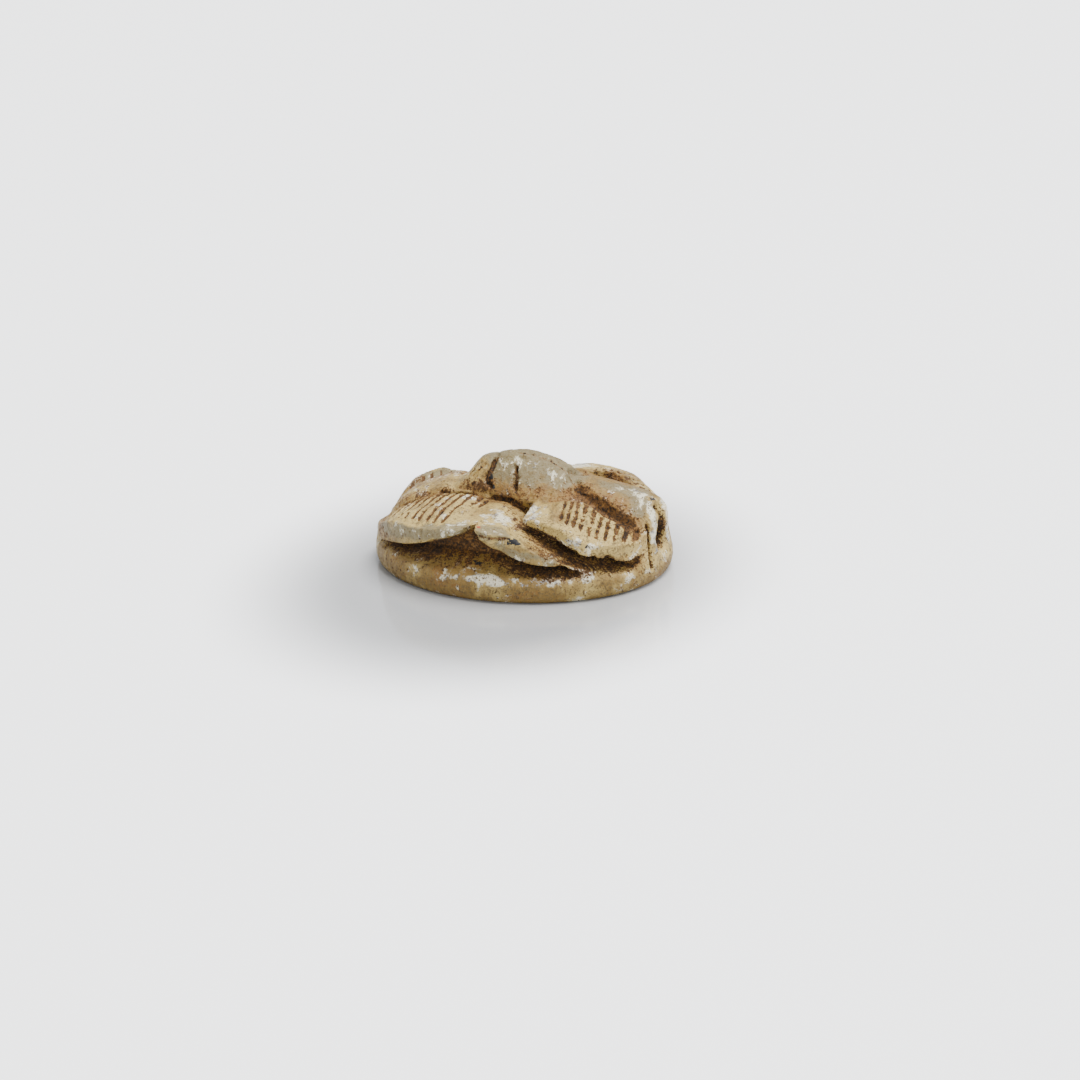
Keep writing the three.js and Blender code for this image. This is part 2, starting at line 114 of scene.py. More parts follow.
# The courses of the solid's legs and head along the body, as in the part's own source.
leg_top = course(
    [[-0.99, 0.08], [-0.92, 0.16], [-0.81, 0.3], [-0.71, 0.405], [-0.56, 0.52], [-0.34, 0.585],
     [-0.14, 0.56], [0.02, 0.545], [0.1, 0.5], [0.18, 0.41], [0.24, 0.3], [0.3, 0.15]])
leg_fall = course(
    [[-0.98, 0.05], [-0.82, 0.1], [-0.71, 0.17], [-0.6, 0.25], [-0.47, 0.27], [-0.35, 0.2],
     [-0.21, 0.1], [-0.09, 0.03], [0.02, 0.03], [0.11, 0.04], [0.3, -0.05]])
far_rise = course(
    [[-0.98, 0.05], [-0.92, 0.13], [-0.86, 0.13], [-0.81, 0.095], [-0.74, 0.06], [-0.68, 0.02],
     [-0.5, 0], [-0.3, -0.01], [-0.144, -0.03], [-0.03, -0.09], [0.1, -0.1], [0.2, -0.09],
     [0.3, -0.05], [0.45, 0]])
head_half = course([[-0.92, 0.17], [-0.82, 0.23], [-0.62, 0.265], [-0.38, 0.27]])
hind_top = course(
    [[0.19, 0.545], [0.33, 0.545], [0.485, 0.495], [0.68, 0.345], [0.77, 0.27], [0.86, 0.22],
     [0.95, 0.2]])
hind_inner = course(
    [[0.14, 0.595], [0.23, 0.615], [0.34, 0.635], [0.485, 0.665], [0.57, 0.655], [0.66, 0.55],
     [0.79, 0.45], [0.87, 0.36], [0.93, 0.28]])
hind_reach = course(
    [[0.19, 0.655], [0.33, 0.695], [0.485, 0.74], [0.59, 0.765], [0.68, 0.715], [0.77, 0.645],
     [0.86, 0.525], [0.95, 0.36]])
hind_root = course([[0.14, 0.35], [0.57, 0.376], [0.72, 0.39], [0.83, 0.345], [0.93, 0.27]])

FRONT_LEG_CROWN = 0.62 * HALF_WIDTH
FRONT_LEG_BULGE = 0.2
FRONT_LEG_REACH = HALF_WIDTH + 1.5

# How far the +Y legs' tops and the back stand off the solid's, in millimetres.
far_front_settling = course(
    [[-0.97, 0.15], [-0.9, 0.38], [-0.83, 0.15], [-0.77, -0.08], [-0.7, -0.28], [-0.64, -0.5],
     [-0.58, -0.75], [-0.5, -0.75], [-0.42, -0.5], [-0.32, -0.15], [-0.22, 0]])
far_hind_settling = course([[0.16, 0.1], [0.24, 0.15], [0.5, 0.12], [0.7, 0.1], [0.84, 0.05], [0.95, 0]])
back_settling = course([[0.0, 0], [0.12, -0.05], [0.25, -0.2], [0.38, -0.28], [0.5, -0.05], [0.56, 0]])
BACK_SHIFT = 0.65
BACK_SHIFT_MIDDLE, BACK_SHIFT_WIDTH = 4.2, 1.3

# The hatching: millimetres between its lines, where it starts and ends as shares of the half length,
# how much a line slants, and what is added to its number so that each leg gets chances of its own.
FRONT_SPACING = 0.54
FRONT_START, FRONT_END = -0.84, -0.06
FIRST_SLANT, LAST_SLANT = 0.42, 0.12
HIND_SPACING = 0.46
HIND_START = 0.42
HIND_SLANT = 0.12
ALL_LINES, HIND_LINES, FAR_LINES = 10, 40, 100

# How far from a point other stone shelters it, and how high above the surface its view starts.
SHELTER_REACH = 2.4 * MM
SHELTER_LIFT = 0.06 * MM


def front_leg_height(x, y):
    """The height of a front leg's unhatched top at x, y, on the solid."""
    across = np.abs(y)
    root = head_half(x) * HALF_WIDTH
    fall = leg_fall(x)
    ridge = up(leg_top(x))
    top = ridge + np.where(y > 0, far_rise(x), 0) * CARVED_HEIGHT
    kink = top - fall * (FRONT_LEG_CROWN - root) * FRONT_LEG_BULGE
    outer = top - fall * (FRONT_LEG_REACH - root)
    inside = ridge + (kink - ridge) * (across - root) / (FRONT_LEG_CROWN - root)
    outside = kink + (outer - kink) * (across - FRONT_LEG_CROWN) / (FRONT_LEG_REACH - FRONT_LEG_CROWN)
    return np.where(across < FRONT_LEG_CROWN, inside, outside)


def hind_leg_height(x, y):
    """The height of a hind leg's unhatched top at x, y, on the solid."""
    root = hind_root(x) * HALF_WIDTH
    reach = hind_reach(x) * HALF_WIDTH
    inner, outer = up(hind_inner(x)), up(hind_top(x))
    return inner + (outer - inner) * (np.abs(y) - root) / (reach - root)


def smoothstep(low, high, value):
    """0 below low, 1 above high, and a soft step between them."""
    t = np.clip((value - low) / (high - low), 0, 1)
    return t * t * (3 - 2 * t)


def band(low, high, edge, value):
    """1 between low and high, and 0 from an edge's width outside them."""
    return smoothstep(low - edge, low, value) * (1 - smoothstep(high, high + edge, value))


# Lines cut on both sides of the back, in millimetres: path, width, depth. The sides are mirrored.
CUTS = {
    "neck crack": (((-1.14, -0.3, 6.7), (-1.32, -0.83, 6.12), (-1.48, -1.3, 5.67), (-1.3, -1.6, 5.2)),
                   0.3, 0.3),
    "collar": (((-2.72, -1.06, 5.57), (-2.46, -0.87, 5.96), (-2.13, -0.6, 6.31)), 0.2, 0.1),
    "second collar": (((-2.46, -1.24, 5.6), (-2.11, -1.11, 5.96), (-1.78, -0.85, 6.24)), 0.2, 0.09),
    "back slit": (((0.2, -1.0, 6.35), (0.3, -1.45, 5.85), (0.46, -1.95, 5.33)), 0.34, 0.42),
    "back arris": (((0.3, -0.33, 6.96), (1.2, -0.36, 6.92), (2.2, -0.4, 6.75), (3.3, -0.5, 6.4)), 0.2, 0.05),
    "foot of the back": (((-4.4, -1.7, 4.6), (-3.3, -1.72, 4.7), (-2.4, -1.74, 4.65), (-1.6, -1.9, 4.63),
                          (-0.9, -1.9, 4.6), (0.3, -2.0, 4.6)), 0.3, 0.2),
    "wing fold": (((3.6, -0.1, 6.35), (3.85, -0.7, 5.9), (4.2, -1.35, 5.3)), 0.6, 0.28),
    "wing foot": (((4.2, -1.35, 5.3), (5.3, -1.75, 4.7), (6.3, -1.9, 4.25), (7.3, -2.1, 3.8)), 1.1, 0.34),
    "knee": (((-0.15, -6.5, 4.12), (0.8, -6.5, 4.0), (1.7, -6.4, 4.1)), 0.3, 0.14),
    "string's groove": (((8.75, 0.1, 3.2), (8.65, 0.1, 3.6), (8.5, 0.1, 4.1)), 0.85, 0.45),
    "tail slit": (((8.4, -1.62, 3.7), (8.52, -1.6, 3.3), (8.62, -1.66, 2.4), (8.68, -1.78, 1.1)), 0.26, 0.34),
}

# Chips in the edges, in millimetres: place, radius, depth.
CHIPS = (
    ((3.75, -5.75, 3.3), 0.45, 0.2), ((6.9, -3.95, 2.35), 0.4, 0.22), ((5.2, -5.4, 3.0), 0.35, 0.12),
    ((6.2, -4.6, 2.6), 0.3, 0.12), ((4.6, -5.6, 2.35), 0.4, 0.12), ((-3.4, -6.2, 3.4), 0.5, 0.1),
    ((1.2, -6.45, 3.2), 0.4, 0.1), ((-6.4, 4.6, 2.9), 0.5, 0.2), ((2.6, 6.2, 3.2), 0.5, 0.18),
    ((5.9, 4.7, 2.9), 0.4, 0.15), ((-1.2, 6.6, 1.4), 0.6, 0.12), ((3.6, 6.0, 1.4), 0.5, 0.1),
)

# Where colours lie, in millimetres: path, radius, strength, and whether the other side has the same.
STAINS = {
    # Earth in the recess, the folds and the cuts, laid also as painted shade where these lie in shadow.
    "earth_and_shade": (
        (((-7.4, -2.6, 2.4), (-5.6, -3.8, 2.5), (-3.0, -4.6, 2.8), (0.0, -4.9, 2.9), (2.8, -5.0, 2.4),
          (5.0, -4.9, 1.9)),
         1.3, 0.95, True),
        (((4.2, -1.3, 5.3), (4.9, -1.65, 4.9), (5.6, -1.8, 4.5), (6.4, -1.9, 4.15), (7.5, -2.1, 3.6)),
         1.15, 1.1, True),
        (((3.65, -0.3, 6.2), (4.0, -0.9, 5.7), (4.3, -1.4, 5.2)), 0.5, 0.8, True),
        (((0.4, -2.15, 5.0), (1.5, -2.15, 5.15), (2.6, -2.05, 5.25), (3.8, -1.8, 5.2)), 0.6, 0.8, True),
        (((-3.1, -1.3, 5.1), (-2.2, -1.5, 5.25), (-1.3, -1.5, 5.35)), 0.6, 0.85, True),
        (((0.4, -2.3, 4.7), (0.7, -3.0, 4.45), (1.2, -3.8, 4.15), (1.9, -4.3, 3.7)), 0.75, 0.75, True),
        (((2.3, -4.9, 3.4), (4.0, -4.8, 2.9), (5.5, -4.2, 2.5), (7.0, -3.2, 2.1), (8.1, -2.4, 1.7)),
         0.9, 0.75, True),
        (((-7.6, 0.0, 3.2), (-6.8, -1.5, 3.6), (-5.6, -1.8, 4.15), (-4.2, -1.7, 4.6)), 1.3, 0.8, True),
        (((-8.2, -2.6, 0.9), (-7.2, -4.0, 0.9), (-6.0, -4.9, 0.8)), 0.9, 0.5, True),
        # Along the bore of the string hole: painted shade inside the hole, with the earth in it.
        (((-8.9, 0.0, 2.5), (0.0, 0.0, 2.5), (8.9, 0.0, 2.5)), 1.15, 2.0, False),
        (((8.4, -1.8, 3.6), (8.6, -1.8, 2.4), (8.65, -1.9, 1.2)), 0.55, 0.6, True),
    ),
    "film": (
        (((-0.8, 0.0, 6.6), (0.6, 0.0, 6.8), (2.6, 0.0, 6.5)), 2.4, 1.0, False),
        (((-2.6, 0.0, 6.1), (-1.4, 0.0, 6.5)), 1.0, 0.7, False),
        (((-7.2, -3.6, 3.0), (-6.0, -4.8, 3.1), (-4.6, -5.6, 3.5), (-3.0, -6.2, 3.95), (-1.0, -6.4, 4.3)),
         0.75, 0.95, True),
        (((0.3, -6.3, 4.4), (1.3, -6.2, 4.4)), 0.8, 0.9, True),
        (((-7.3, 2.8, 3.6), (-6.4, 3.6, 3.8), (-5.8, 4.3, 3.6)), 1.2, 1.1, False),
        (((1.2, -6.4, 3.6), (2.6, -6.1, 3.1), (4.2, -5.6, 2.7)), 0.5, 0.8, True),
        (((5.4, 0.0, 5.4), (7.0, -0.2, 5.0), (7.8, -0.9, 4.4)), 0.9, 0.75, True),
    ),
    "bare_and_highlit": (
        (((1.7, -3.0, 4.75), (2.3, -3.9, 4.5)), 0.95, 1.1, True),
        (((-2.2, -6.45, 1.5), (0.2, -6.6, 1.45), (2.6, -6.35, 1.4), (4.6, -5.7, 1.4), (6.2, -4.8, 1.6)),
         0.5, 0.8, True),
        (((5.1, -5.2, 3.7), (6.0, -4.8, 3.3)), 0.5, 0.8, False),
        (((3.0, -5.0, 4.1), (3.8, -5.4, 3.8)), 0.45, 0.9, False),
        (((5.3, -5.3, 2.05), (6.2, -4.7, 1.7)), 0.5, 0.9, True),
        (((-0.4, -4.2, 4.5), (0.4, -4.4, 4.4)), 0.7, 0.7, True),
        (((8.5, -0.9, 4.2), (8.65, -1.15, 3.2), (8.8, -1.0, 1.9)), 0.36, 1.1, True),
        (((1.2, -1.0, 6.4), (2.4, -1.1, 6.2)), 0.5, 0.55, True),
        (((6.9, 0.2, 5.0), (7.6, 0.2, 4.8)), 0.4, 0.6, False),
    ),
    "pit": (
        (((-0.61, -5.6, 2.0),), 0.26, 1.0, False), (((-0.9, -5.5, 2.1),), 0.14, 0.9, False),
        (((1.67, -6.43, 3.74), (2.05, -6.3, 3.95), (2.2, -6.0, 4.0)), 0.2, 1.0, False),
        (((1.75, -6.35, 4.05), (2.25, -6.3, 3.75)), 0.17, 1.0, False),
        (((8.2, -0.1, 4.72),), 0.24, 0.95, False), (((5.88, -4.87, 3.3),), 0.2, 0.8, False),
        (((5.6, -5.05, 3.5),), 0.13, 0.7, False), (((7.1, -2.7, 1.75),), 0.16, 0.7, False),
        (((2.0, -1.55, 5.8), (2.25, -1.6, 5.75)), 0.12, 0.75, False),
        (((1.36, -1.04, 6.38),), 0.2, 0.5, False), (((-1.42, -1.3, 5.65),), 0.2, 1.0, True),
        (((-1.07, -1.61, 5.17),), 0.2, 1.0, True),
        (((0.44, -1.85, 5.4), (0.48, -2.0, 5.25)), 0.24, 1.0, True),
        (((-4.3, 2.4, 4.2),), 0.2, 0.8, False), (((3.4, 4.4, 4.6),), 0.18, 0.7, False),
    ),
    "rust": ((((-0.23, -6.09, 4.49),), 0.2, 1.0, False), (((4.6, 3.6, 4.8),), 0.15, 0.7, False)),
}


class Surface:
    """A mesh's points in millimetres, with the edges that join them."""

    def __init__(self, mesh):
        self.mesh = mesh
        count = len(mesh.vertices)
        flat = np.empty(count * 3, np.float32)
        mesh.vertices.foreach_get("co", flat)
        self.co = flat.reshape(-1, 3).astype(float) / MM
        pairs = np.empty(len(mesh.edges) * 2, np.int32)
        mesh.edges.foreach_get("vertices", pairs)
        self.a, self.b = pairs.reshape(-1, 2).T
        self.degree = np.bincount(self.a, minlength=count) + np.bincount(self.b, minlength=count)

    def mean(self, field):
        """Each point's average over its neighbours."""
        count = len(self.degree)
        if field.ndim == 1:
            total = np.bincount(self.a, field[self.b], count) + np.bincount(self.b, field[self.a], count)
            return total / self.degree
        return np.stack([self.mean(field[:, k]) for k in range(field.shape[1])], 1)

    def blur(self, field, rounds):
        """Evens a field out over the neighbours."""
        for _ in range(rounds):
            field = field + 0.6 * (self.mean(field) - field)
        return field

    def soften(self, rounds):
        """Rounds off the forms without shrinking them."""
        for _ in range(rounds):
            self.co += 0.5 * (self.mean(self.co) - self.co)
            self.co -= 0.52 * (self.mean(self.co) - self.co)

    def ease(self, weight, rounds):
        """Wears an edge round where the weight is above 0."""
        for _ in range(rounds):
            self.co += (0.6 * weight)[:, None] * (self.mean(self.co) - self.co)

    def nearest(self, place):
        """The point closest to a place."""
        return self.co[np.argmin(((self.co - place) ** 2).sum(1))]

    def write(self):
        """Puts the points back into the mesh."""
        self.mesh.vertices.foreach_set("co", (self.co * MM).astype(np.float32).ravel())
        self.mesh.update()

    def normals(self):
        self.write()
        flat = np.empty(len(self.co) * 3, np.float32)
        self.mesh.vertex_normals.foreach_get("vector", flat)
        return flat.reshape(-1, 3).astype(float)

    def read(self, name):
        """The number kept for each point under a name."""
        values = np.empty(len(self.co), np.float32)
        self.mesh.attributes[name].data.foreach_get("value", values)
        return values.astype(float)

    def keep(self, name, values):
        """Stores a number for each point under a name."""
        held = self.mesh.attributes.get(name) or self.mesh.attributes.new(name, "FLOAT", "POINT")
        held.data.foreach_set("value", np.asarray(values, np.float32))


def lattice_noise(points, size, seed):
    """Smooth noise from -1 to 1 with features of about the given size, the same on every run."""
    rng = np.random.default_rng(seed)
    table = rng.uniform(-1, 1, 4096)
    scaled = points / size + 512.37
    cell = np.floor(scaled).astype(np.int64)
    part = scaled - cell
    part = part * part * (3 - 2 * part)
    total = np.zeros(len(points))
    for corner in range(8):
        step = np.array([corner & 1, corner >> 1 & 1, corner >> 2 & 1])
        x, y, z = (cell + step).T
        value = table[(x * 73856093 ^ y * 19349663 ^ z * 83492791) & 4095]
        weight = np.where(step, part, 1 - part).prod(1)
        total += value * weight
    return total


def distance_to(points, path):
    """The distance of each point from a path of straight stretches."""
    nearest = np.full(len(points), np.inf)
    path = np.asarray(path, float)
    for start, end in zip(path[:-1], path[1:]):
        along = end - start
        t = np.clip((points - start) @ along / max(along @ along, 1e-9), 0, 1)
        nearest = np.minimum(nearest, np.linalg.norm(points - start - t[:, None] * along, axis=1))
    return nearest


def mirrored(path):
    """The same path on the other side of the body."""
    return tuple((x, -y, z) for x, y, z in path)


def incise(surface, normals, path, width, depth):
    """Cuts a groove of V section along a path laid on the surface."""
    laid = []
    for start, end in zip(path[:-1], path[1:]):
        for share in (0, 0.25, 0.5, 0.75):
            laid.append(surface.nearest(np.array(start) * (1 - share) + np.array(end) * share))
    laid.append(surface.nearest(np.array(path[-1])))
    wander = 0.12 * lattice_noise(surface.co, 0.35, len(path) + int(100 * width))
    away = distance_to(surface.co, laid) * (1 + wander)
    surface.co -= normals * (depth * np.clip(1 - away / (width / 2), 0, 1) ** 0.8)[:, None]


class Value:
    """A number in a node tree. Arithmetic on it adds Math nodes."""

    def __init__(self, tree, socket):
        self.tree = tree
        self.socket = socket

    def math(self, operation, *others, flip=False):
        node = self.tree.nodes.new("ShaderNodeMath")
        node.operation = operation
        terms = [self, *others]
        for slot, term in zip(node.inputs, reversed(terms) if flip else terms):
            if isinstance(term, Value):
                self.tree.links.new(term.socket, slot)
            else:
                slot.default_value = term
        return Value(self.tree, node.outputs[0])

    def __add__(self, other):
        return self.math("ADD", other)

    def __sub__(self, other):
        return self.math("SUBTRACT", other)

    def __rsub__(self, other):
        return self.math("SUBTRACT", other, flip=True)

    def __mul__(self, other):
        return self.math("MULTIPLY", other)

    def __truediv__(self, other):
        return self.math("DIVIDE", other)

    __radd__ = __add__

    def clamped(self):
        return self.math("MINIMUM", 1.0).math("MAXIMUM", 0.0)

    def step(self, low, high):
        """0 below low, 1 above high, and a soft step between them."""
        node = self.tree.nodes.new("ShaderNodeMapRange")
        node.interpolation_type = "SMOOTHSTEP"
        node.inputs["From Min"].default_value = low
        node.inputs["From Max"].default_value = high
        self.tree.links.new(self.socket, node.inputs["Value"])
        return Value(self.tree, node.outputs["Result"])


def opaque(colour):
    """A colour with full opacity. A socket stays as it is."""
    return colour if isinstance(colour, bpy.types.NodeSocket) else (*colour, 1.0)


class Wiring:
    """Adds nodes to one tree: add(type, settings, inputs by name or number)."""

    def __init__(self, tree):
        self.tree = tree

    def add(self, kind, settings=None, inputs=None):
        node = self.tree.nodes.new(kind)
        for name, setting in (settings or {}).items():
            setattr(node, name, setting)
        for key, term in (inputs or {}).items():
            slot = node.inputs[key]
            if isinstance(term, Value):
                self.tree.links.new(term.socket, slot)
            elif isinstance(term, bpy.types.NodeSocket):
                self.tree.links.new(term, slot)
            else:
                slot.default_value = term
        return node

    def number(self, node, output=0):
        return Value(self.tree, node.outputs[output])

    def noise(self, place, scale, detail=3.0, roughness=0.5, distortion=0.0):
        node = self.add("ShaderNodeTexNoise", {"noise_dimensions": "3D"}, {
            "Vector": place, "Scale": scale, "Detail": detail, "Roughness": roughness,
            "Distortion": distortion})
        return self.number(node)

    def mix(self, base, over, amount):
        """One colour laid over another."""
        node = self.add("ShaderNodeMix", {"data_type": "RGBA", "clamp_factor": True}, {
            0: amount, 6: opaque(base), 7: opaque(over)})
        return node.outputs[2]


class StoneSettings(bpy.types.PropertyGroup):
    cell: FloatProperty(
        name="Mesh cell", description="Size of the stone mesh's cells",
        default=0.075 * MM, unit="LENGTH", precision=6)
    triangles: IntProperty(
        name="Triangles", description="About how many triangles the stone mesh keeps", default=192000)
    hatch_width: FloatProperty(
        name="Hatch width", description="Width of one hatching groove at the surface",
        default=0.3 * MM, unit="LENGTH", precision=6)
    hatch_depth: FloatProperty(
        name="Hatch depth", description="Depth of one hatching groove",
        default=0.17 * MM, unit="LENGTH", precision=6)
    hatch_wander: FloatProperty(
        name="Hatch wander", description="How far a groove strays, as a share of the spacing",
        default=0.1, subtype="FACTOR")
    wear: FloatProperty(
        name="Wear", description="Height of the hand-cut unevenness", default=0.06 * MM,
        unit="LENGTH", precision=6)
    seed: IntProperty(name="Seed", description="Which of the like patterns is made", default=7)
    ochre: FloatVectorProperty(
        name="Ochre", description="Colour of the plain stone", subtype="COLOR",
        default=(0.185, 0.108, 0.02))
    # Also the colour of the painted light on the leg tops and the tail's end.
    cream: FloatVectorProperty(
        name="Cream", description="Colour of the handled stone", subtype="COLOR",
        default=(0.38, 0.272, 0.085))
    # Also the colour of the painted highlight along proud edges.
    bare_and_highlit: FloatVectorProperty(
        name="Bare stone", description="Colour where the surface is worn through", subtype="COLOR",
        default=(0.6, 0.56, 0.42))
    blue_grey: FloatVectorProperty(
        name="Blue grey", description="The colder colour in the bare patches", subtype="COLOR",
        default=(0.2, 0.215, 0.25))
    grey_film: FloatVectorProperty(
        name="Grey film", description="Colour of the greenish grey film on the back",
        subtype="COLOR", default=(0.15, 0.126, 0.065))
    rust_stain: FloatVectorProperty(
        name="Brown stain", description="Colour of the broad stains", subtype="COLOR",
        default=(0.17, 0.07, 0.007))
    # The soil's colour, laid where the cuts hold soil and also as painted shade where the stone is sheltered
    # and in the hatching grooves.
    soil_and_shade: FloatVectorProperty(
        name="Soil", description="Colour of the soil near the cuts", subtype="COLOR",
        default=(0.092, 0.037, 0.004))
    # The near-black colour of the earth deep in the cuts, also laid as painted shade in the most sheltered
    # places.
    earth_and_shade: FloatVectorProperty(
        name="Earth", description="Colour of the soil deep in the cuts", subtype="COLOR",
        default=(0.016, 0.008, 0.002))
    pit: FloatVectorProperty(
        name="Pits", description="Colour of the dark pits", subtype="COLOR",
        default=(0.006, 0.006, 0.007))
    rust: FloatVectorProperty(
        name="Rust", description="Colour of the rusty spot", subtype="COLOR",
        default=(0.3, 0.035, 0.004))


class StageSettings(bpy.types.PropertyGroup):
    yaw: FloatProperty(
        name="Camera yaw", description="Turn of the view about the upright axis",
        default=math.radians(22), subtype="ANGLE")
    rise: FloatProperty(
        name="Camera rise", description="Height of the view above the floor, as an angle",
        default=math.radians(22), subtype="ANGLE")
    roll: FloatProperty(
        name="Camera roll", description="Lean of the picture", default=math.radians(3),
        subtype="ANGLE")
    distance: FloatProperty(
        name="Camera distance", description="From the camera to the amulet", default=0.3,
        unit="LENGTH")
    floor_colour: FloatVectorProperty(
        name="Floor", description="Colour of the pale floor", subtype="COLOR",
        default=(0.33, 0.332, 0.335))


def remeshed_node(cell):
    """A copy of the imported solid, rebuilt of small even faces."""
    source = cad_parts[NODE]
    mesh = source.data.copy()
    piece = bpy.data.objects.new("carved_scarab", mesh)
    bpy.context.scene.collection.objects.link(piece)
    weld = piece.modifiers.new("weld", "WELD")
    weld.merge_threshold = 0.002 * MM
    cells = piece.modifiers.new("cells", "REMESH")
    cells.mode = "VOXEL"
    cells.voxel_size = cell
    plain(piece)
    return piece


def plain(piece):
    """Applies a piece's modifiers and takes them off."""
    bpy.context.view_layer.update()
    graph = bpy.context.evaluated_depsgraph_get()
    made = bpy.data.meshes.new_from_object(piece.evaluated_get(graph), depsgraph=graph)
    piece.modifiers.clear()
    piece.data = made


def settle(surface):
    """Gives the +Y legs and the back the small differences of a carving made by eye."""
    x, y, z = surface.co.T.copy()
    across = np.abs(y)
    far = smoothstep(0.0, 0.4, y)
    share = x / HALF_LENGTH
    for height, settling, root, low, high in (
            (front_leg_height, far_front_settling, head_half, -0.99, 0.14),
            (hind_leg_height, far_hind_settling, hind_root, 0.2, 0.95)):
        top = height(x, y)
        outward = smoothstep(-0.3, 0.5, across - root(x) * HALF_WIDTH)
        climb = smoothstep(PLINTH_HEIGHT + 0.3, top, z)
        surface.co[:, 2] += settling(x) * far * outward * climb * band(low, high, 0.04, share)
    on_back = smoothstep(4.5, 5.5, z) * (1 - smoothstep(1.9, 2.5, across))
    surface.co[:, 2] += back_settling(x) * on_back
    surface.co[:, 0] -= BACK_SHIFT * np.exp(-((x - BACK_SHIFT_MIDDLE) / BACK_SHIFT_WIDTH) ** 2) * on_back


def thin(piece, triangles):
    """Leaves about so many triangles, fewest where the stone is flat."""
    count = sum(len(face.vertices) - 2 for face in piece.data.polygons)
    fewer = piece.modifiers.new("fewer", "DECIMATE")
    fewer.ratio = min(triangles / count, 1.0)
    plain(piece)


def hatch_front_legs(surface, x, y, z, far):
    """Levels the front legs' tops. Gives each point its line, its amount, and how near it is to the knee."""
    across = np.abs(y)
    share = x / HALF_LENGTH
    root = head_half(x) * HALF_WIDTH
    lift = front_leg_height(x, y) + far * far_front_settling(x) * band(-0.99, 0.14, 0.04, share)
    oval = np.hypot(x / (HALF_LENGTH - WALL_INSET), y / (HALF_WIDTH - WALL_INSET))
    near_top = 1 - smoothstep(0.25, 0.45, np.abs(z - lift))
    zone = (smoothstep(0.15, 0.35, across - root) * (1 - smoothstep(0.965, 0.99, oval))
            * band(-0.94, 0.0, 0.03, share))
    surface.co[:, 2] += (lift - z) * zone * near_top

    first, last = FRONT_START * HALF_LENGTH, FRONT_END * HALF_LENGTH
    line = (x - first) / FRONT_SPACING
    count = math.floor((last - first) / FRONT_SPACING)
    for _ in range(8):
        start = first + line * FRONT_SPACING
        slant = FIRST_SLANT + (LAST_SLANT - FIRST_SLANT) * np.clip(line / count, -0.3, 1.3)
        line = (x + slant * (across - head_half(start) * HALF_WIDTH - 0.12) - first) / FRONT_SPACING
    inset = 0.45 + 0.3 * smoothstep(-0.8, -0.5, share)
    oval = np.hypot(x / (HALF_LENGTH - inset), y / (HALF_WIDTH - inset))
    knee = smoothstep(count - 2.5, count - 0.5, line)
    ends = smoothstep(-1.2, -0.6, line) * (1 - smoothstep(count + 0.2, count + 0.6, line))
    shorter = 1 - knee * smoothstep(0.5, 0.68, oval)
    amount = (smoothstep(0.05, 0.25, across - root) * (1 - smoothstep(0.97, 1.02, oval))
              * near_top * ends * shorter * (1 - 0.5 * far))
    step = smoothstep(0.985, 1.03, oval) * near_top * zone
    surface.co[:, 2] -= 0.05 * step * (1 - knee)
    return line, amount, knee


def hatch_hind_legs(surface, x, y, z, far):
    """Levels the hind legs' tops, and gives each point its line and its amount."""
    across = np.abs(y)
    share = x / HALF_LENGTH
    root = hind_root(x) * HALF_WIDTH
    reach = hind_reach(x) * HALF_WIDTH
    lift = hind_leg_height(x, y) + far * far_hind_settling(x) * band(0.2, 0.95, 0.04, share)
    near_top = 1 - smoothstep(0.25, 0.45, np.abs(z - lift))
    zone = (smoothstep(0.1, 0.3, across - root) * (1 - smoothstep(-0.3, -0.12, across - reach))
            * band(0.3, 0.88, 0.04, share))
    surface.co[:, 2] += (lift - z) * zone * near_top
    line = (x - HIND_SLANT * (across - root) - HIND_START * HALF_LENGTH) / HIND_SPACING
    amount = (smoothstep(-0.05, 0.1, across - root) * (1 - smoothstep(-0.75, -0.45, across - reach))
              * near_top * smoothstep(-0.6, -0.3, line) * (1 - smoothstep(0.9, 0.94, share)))
    return line, amount


def fill_hatching(surface):
    """Levels the legs' tops, and gives each point its place in the hatching that follows.

    The place is a line number, whole on the middle of a groove, and an amount from 0 to 1."""
    x, y, z = surface.co.T.copy()
    far = np.where(y > 0, 1.0, 0.0)
    front_line, front, knee = hatch_front_legs(surface, x, y, z, far)
    hind_line, hind = hatch_hind_legs(surface, x, y, z, far)
    on_hind = hind > front
    line = np.where(on_hind, hind_line + HIND_LINES, front_line)
    surface.keep("hatch_line", line + FAR_LINES * far + ALL_LINES)
    surface.keep("hatch_pitch", np.where(on_hind, HIND_SPACING, FRONT_SPACING) * MM)
    surface.keep("hatch_amount", np.maximum(front, hind))
    surface.keep("hatch_broken", np.where(on_hind, 0.5, 0.1 + 0.6 * knee))


